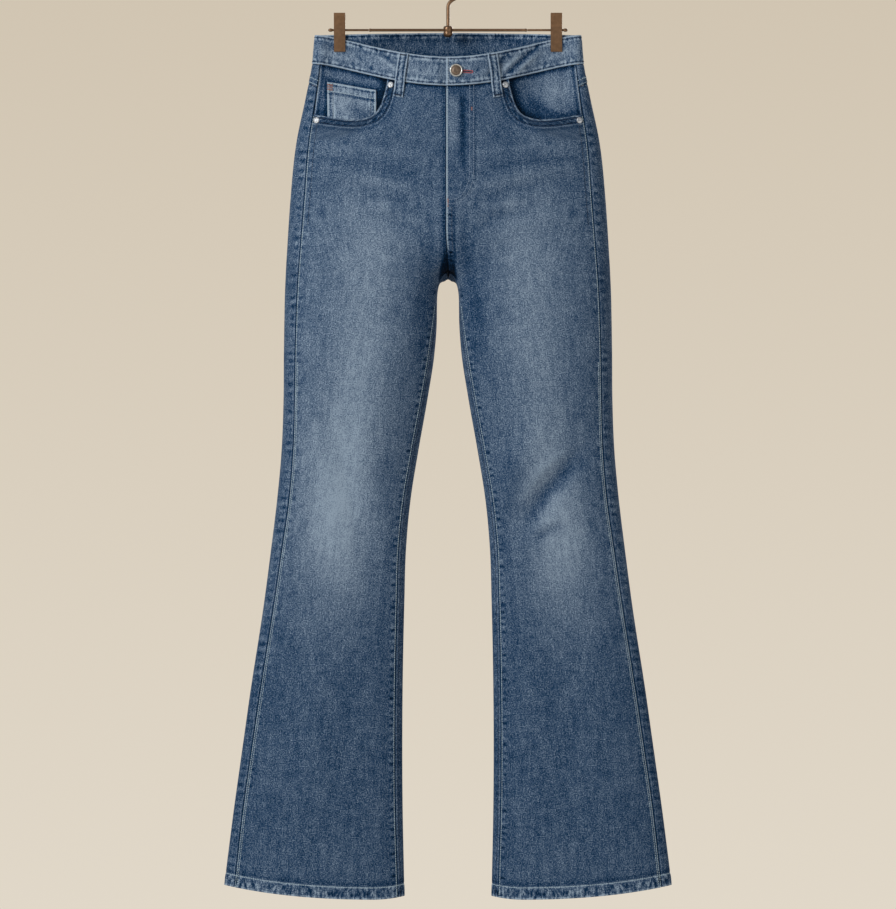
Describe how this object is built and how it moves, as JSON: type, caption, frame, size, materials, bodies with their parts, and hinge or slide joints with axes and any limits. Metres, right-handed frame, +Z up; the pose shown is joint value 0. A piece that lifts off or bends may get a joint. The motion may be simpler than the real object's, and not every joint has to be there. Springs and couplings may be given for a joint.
{
  "type": "flared jeans on a clip hanger",
  "caption": "High-waisted flared five-pocket jeans hung nearly flat by the waist from a wire-hook hanger with sliding spring clips.",
  "frame": {"origin": "inside top of the hanger's hook, where it rests on a rail", "axes": "+Z up, the wearer's front towards -Y, the wearer's left towards +X"},
  "size_m": [0.5856, 0.1127, 1.2262],
  "materials": {
    "denim": "washed mid-blue denim twill, matte",
    "denim_inside": "pale inside of the same denim, matte",
    "pocketing": "undyed cotton pocketing, matte",
    "zip_metal": "dull antique brass",
    "button_metal": "antique finish with a bright rim",
    "rivet_metal": "satin nickel",
    "hanger_metal": "satin bronze"
  },
  "bodies": {
    "root": {"front_hip_r": "denim", "front_thigh_r": "denim", "front_knee_r": "denim", "front_flare_r": "denim", "front_hip_l": "denim", "front_thigh_l": "denim", "front_knee_l": "denim", "front_flare_l": "denim", "back_hip_r": "denim", "back_thigh_r": "denim", "back_knee_r": "denim", "back_flare_r": "denim", "back_hip_l": "denim", "back_thigh_l": "denim", "back_knee_l": "denim", "back_flare_l": "denim", "yoke_r": "denim", "yoke_l": "denim", "waistband_r": "denim", "waistband_l": "denim", "pocket_facing_r": "denim", "pocket_facing_l": "denim", "coin_pocket": "denim", "back_pocket_r": "denim", "back_pocket_l": "denim", "belt_loop_front_r": "denim", "belt_loop_front_l": "denim", "belt_loop_side_r": "denim", "belt_loop_side_l": "denim", "belt_loop_back": "denim", "hem_r": "denim_inside", "hem_l": "denim_inside", "fly_shield": "denim_inside", "pocket_bag_r": "pocketing", "pocket_bag_l": "pocketing", "zip": "zip_metal", "button": "button_metal", "rivet_inner_r": "rivet_metal", "rivet_inner_l": "rivet_metal", "rivet_outer_r": "rivet_metal", "rivet_outer_l": "rivet_metal", "hanger_sleeve": "hanger_metal", "hanger_rod_r": "hanger_metal", "hanger_rod_l": "hanger_metal", "hook_collar": "hanger_metal", "hook": "hanger_metal", "clip_front_r": "hanger_metal", "clip_front_l": "hanger_metal", "clip_back_r": "hanger_metal", "clip_back_l": "hanger_metal", "clip_barrel_r": "hanger_metal", "clip_barrel_l": "hanger_metal"}
  },
  "joints": []
}
